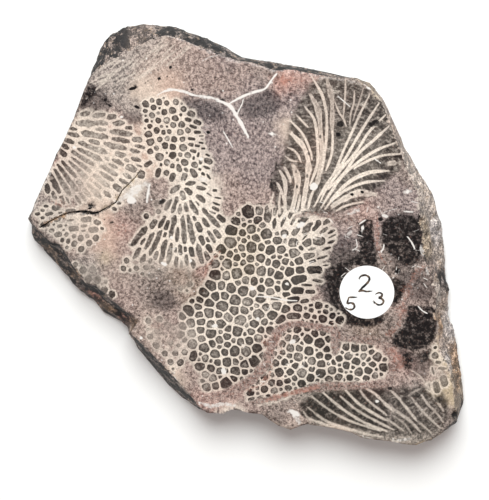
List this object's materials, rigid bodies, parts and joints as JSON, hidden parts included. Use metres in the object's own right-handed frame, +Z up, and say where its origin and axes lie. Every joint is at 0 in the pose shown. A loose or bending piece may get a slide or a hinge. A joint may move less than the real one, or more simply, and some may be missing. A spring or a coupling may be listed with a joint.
{
  "type": "polished fossil coral slab",
  "caption": "Flat slab of pink-grey fossil coral limestone, polished on top, rough broken edges, with a round white paper collection label.",
  "frame": {"origin": "middle of the footprint, on the surface that the sawn underside rests on", "axes": "+Z up through the polished face; +X and +Y lie in the face, with the pointed tip towards -X and the unpolished corner towards +Y"},
  "size_m": [0.108, 0.1018, 0.0121],
  "materials": {
    "coral_limestone": "polished face, rough broken wall, sawn underside",
    "label_paper": "matt white paper with pen figures"
  },
  "bodies": {
    "root": {"slab": "coral_limestone", "label": "label_paper"}
  },
  "joints": []
}
